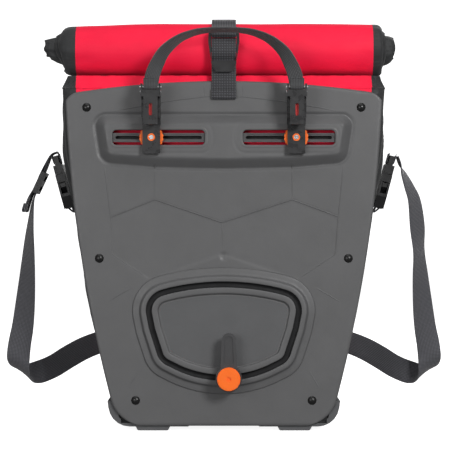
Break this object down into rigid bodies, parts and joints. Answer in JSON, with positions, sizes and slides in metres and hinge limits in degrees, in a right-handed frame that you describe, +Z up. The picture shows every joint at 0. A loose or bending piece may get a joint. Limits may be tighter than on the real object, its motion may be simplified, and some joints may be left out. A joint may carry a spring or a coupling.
{
  "type": "pannier bag",
  "caption": "Roll-top bicycle pannier with a moulded back plate, two sliding rack hooks with a carrying handle that opens them, a lower hook on a track and a shoulder strap.",
  "frame": {"origin": "floor level under the middle of the bag's box, without the shoulder strap", "axes": "+Z up, -Y out of the back plate towards the bicycle's rack, +X across the bag to the right as the back plate is seen"},
  "size_m": [0.467, 0.2395, 0.4223],
  "materials": {
    "plate_grey": "fine moulded grain",
    "rivet_black": "satin",
    "steel": "satin",
    "rail_dark": "dark anodised",
    "fabric_red": "smooth coated tarpaulin",
    "fabric_dark": "coated dark polyester",
    "reflector": "retroreflective film",
    "batten_white": "plain sheet",
    "webbing": "woven nylon webbing",
    "plastic_black": "satin moulded",
    "plastic_orange": "satin moulded",
    "marker_red": "satin"
  },
  "bodies": {
    "bag": {"back_plate": "plate_grey", "plate_rivets": "rivet_black", "rivet_washers": "steel", "hook_rail_left": "rail_dark", "hook_rail_right": "rail_dark", "rail_screws": "steel", "bag_front_panel": "fabric_red", "bag_back_panel": "fabric_red", "gusset_left": "fabric_dark", "gusset_right": "fabric_dark", "bag_base": "fabric_dark", "base_guard_left": "plate_grey", "base_guard_right": "plate_grey", "reflector_left": "reflector", "reflector_right": "reflector", "roll_collar": "fabric_red", "closure_strap_anchor": "webbing", "side_tab_left": "webbing", "side_tab_right": "webbing", "side_socket_left": "plastic_black", "side_socket_right": "plastic_black", "side_plug_left": "plastic_black", "side_plug_right": "plastic_black", "shoulder_strap": "webbing", "strap_loop_left": "webbing", "strap_loop_right": "webbing", "strap_slider": "plastic_black"},
    "roll_top": {"rolled_top": "fabric_red", "roll_core": "fabric_dark", "roll_batten": "batten_white", "closure_strap": "webbing"},
    "top_buckle": {"closure_buckle": "plastic_black", "closure_strap_tail": "webbing"},
    "handle": {"carry_handle": "webbing"},
    "lower_carriage": {"track_nut": "steel"},
    "lower_arm": {"lower_hook": "plate_grey"},
    "lower_clamp": {"lower_knob": "plastic_orange", "lower_screw": "steel"},
    "left_hook": {"hook_left": "plastic_black", "lock_marker_left": "marker_red", "latch_pivot_left": "steel", "clamp_nut_left": "steel", "clamp_screw_left": "steel"},
    "left_adjuster": {"adjuster_wheel_left": "plastic_orange"},
    "left_latch": {"latch_left": "plastic_black", "handle_pin_left": "steel"},
    "left_prong_front": {"prong_front_left": "plastic_black"},
    "left_prong_back": {"prong_back_left": "plastic_black"},
    "right_hook": {"hook_right": "plastic_black", "lock_marker_right": "marker_red", "latch_pivot_right": "steel", "clamp_nut_right": "steel", "clamp_screw_right": "steel"},
    "right_adjuster": {"adjuster_wheel_right": "plastic_orange"},
    "right_latch": {"latch_right": "plastic_black", "handle_pin_right": "steel"},
    "right_prong_front": {"prong_front_right": "plastic_black"},
    "right_prong_back": {"prong_back_right": "plastic_black"}
  },
  "joints": [
    {"name": "roll_top_lift", "type": "slide", "parent": "bag", "child": "roll_top", "axis": [0, 0, 1], "range_m": [0, 0.12], "deforming": ["roll_collar", "closure_strap", "closure_strap_anchor"]},
    {"name": "top_buckle_tilt", "type": "hinge", "parent": "roll_top", "child": "top_buckle", "pos_m": [0, -0.082, 0.405], "axis": [1, 0, 0], "range_deg": [-25, 0]},
    {"name": "left_hook_slide", "type": "slide", "parent": "bag", "child": "left_hook", "axis": [1, 0, 0], "range_m": [-0.024, 0.024]},
    {"name": "left_adjuster_turn", "type": "hinge", "parent": "left_hook", "child": "left_adjuster", "pos_m": [-0.0735, -0.0897, 0.299], "axis": [0, -1, 0], "range_deg": [0, 90]},
    {"name": "left_latch_swing", "type": "hinge", "parent": "left_hook", "child": "left_latch", "pos_m": [-0.0735, -0.107, 0.344], "axis": [1, 0, 0], "range_deg": [-20, 0]},
    {"name": "right_hook_slide", "type": "slide", "parent": "bag", "child": "right_hook", "axis": [1, 0, 0], "range_m": [-0.024, 0.024]},
    {"name": "right_adjuster_turn", "type": "hinge", "parent": "right_hook", "child": "right_adjuster", "pos_m": [0.0735, -0.0897, 0.299], "axis": [0, -1, 0], "range_deg": [0, 90]},
    {"name": "right_latch_swing", "type": "hinge", "parent": "right_hook", "child": "right_latch", "pos_m": [0.0735, -0.107, 0.344], "axis": [1, 0, 0], "range_deg": [-20, 0]},
    {"name": "handle_lift", "type": "slide", "parent": "left_hook", "child": "handle", "axis": [0, 0.6688, 0.7435], "range_m": [0, 0.00295], "stiffness_N_per_m": 400},
    {"name": "hook_track_travel", "type": "hinge", "parent": "bag", "child": "lower_carriage", "pos_m": [0, -0.083, 0.1666], "axis": [0, 1, 0], "range_deg": [-15.4, 20.5]},
    {"name": "lower_hook_swivel", "type": "hinge", "parent": "lower_carriage", "child": "lower_arm", "pos_m": [0.005, -0.0944, 0.05471], "axis": [0, -1, 0], "range_deg": [-180, 180]},
    {"name": "lower_knob_turn", "type": "hinge", "parent": "lower_arm", "child": "lower_clamp", "pos_m": [0.005, -0.106, 0.05471], "axis": [0, -1, 0], "range_deg": [0, 360]},
    {"name": "left_prong_front_press", "type": "hinge", "parent": "bag", "child": "left_prong_front", "pos_m": [-0.17363, 0.0221, 0.26493], "axis": [0.9659, 0, 0.2588], "range_deg": [-12, 0], "stiffness_Nm_per_rad": 0.5},
    {"name": "left_prong_back_press", "type": "hinge", "parent": "bag", "child": "left_prong_back", "pos_m": [-0.17363, 0.0019, 0.26493], "axis": [0.9659, 0, 0.2588], "range_deg": [0, 12], "stiffness_Nm_per_rad": 0.5},
    {"name": "right_prong_front_press", "type": "hinge", "parent": "bag", "child": "right_prong_front", "pos_m": [0.17363, 0.0221, 0.26493], "axis": [0.9659, 0, -0.2588], "range_deg": [-12, 0], "stiffness_Nm_per_rad": 0.5},
    {"name": "right_prong_back_press", "type": "hinge", "parent": "bag", "child": "right_prong_back", "pos_m": [0.17363, 0.0019, 0.26493], "axis": [0.9659, 0, -0.2588], "range_deg": [0, 12], "stiffness_Nm_per_rad": 0.5}
  ],
  "couplings": [
    {"joint": "right_hook_slide", "follows": "left_hook_slide", "ratio": 1},
    {"joint": "left_latch_swing", "follows": "handle_lift", "rad_per_m": -118.3},
    {"joint": "right_latch_swing", "follows": "handle_lift", "rad_per_m": -118.3},
    {"joint": "left_prong_back_press", "follows": "left_prong_front_press", "ratio": -1},
    {"joint": "right_prong_back_press", "follows": "right_prong_front_press", "ratio": -1}
  ]
}
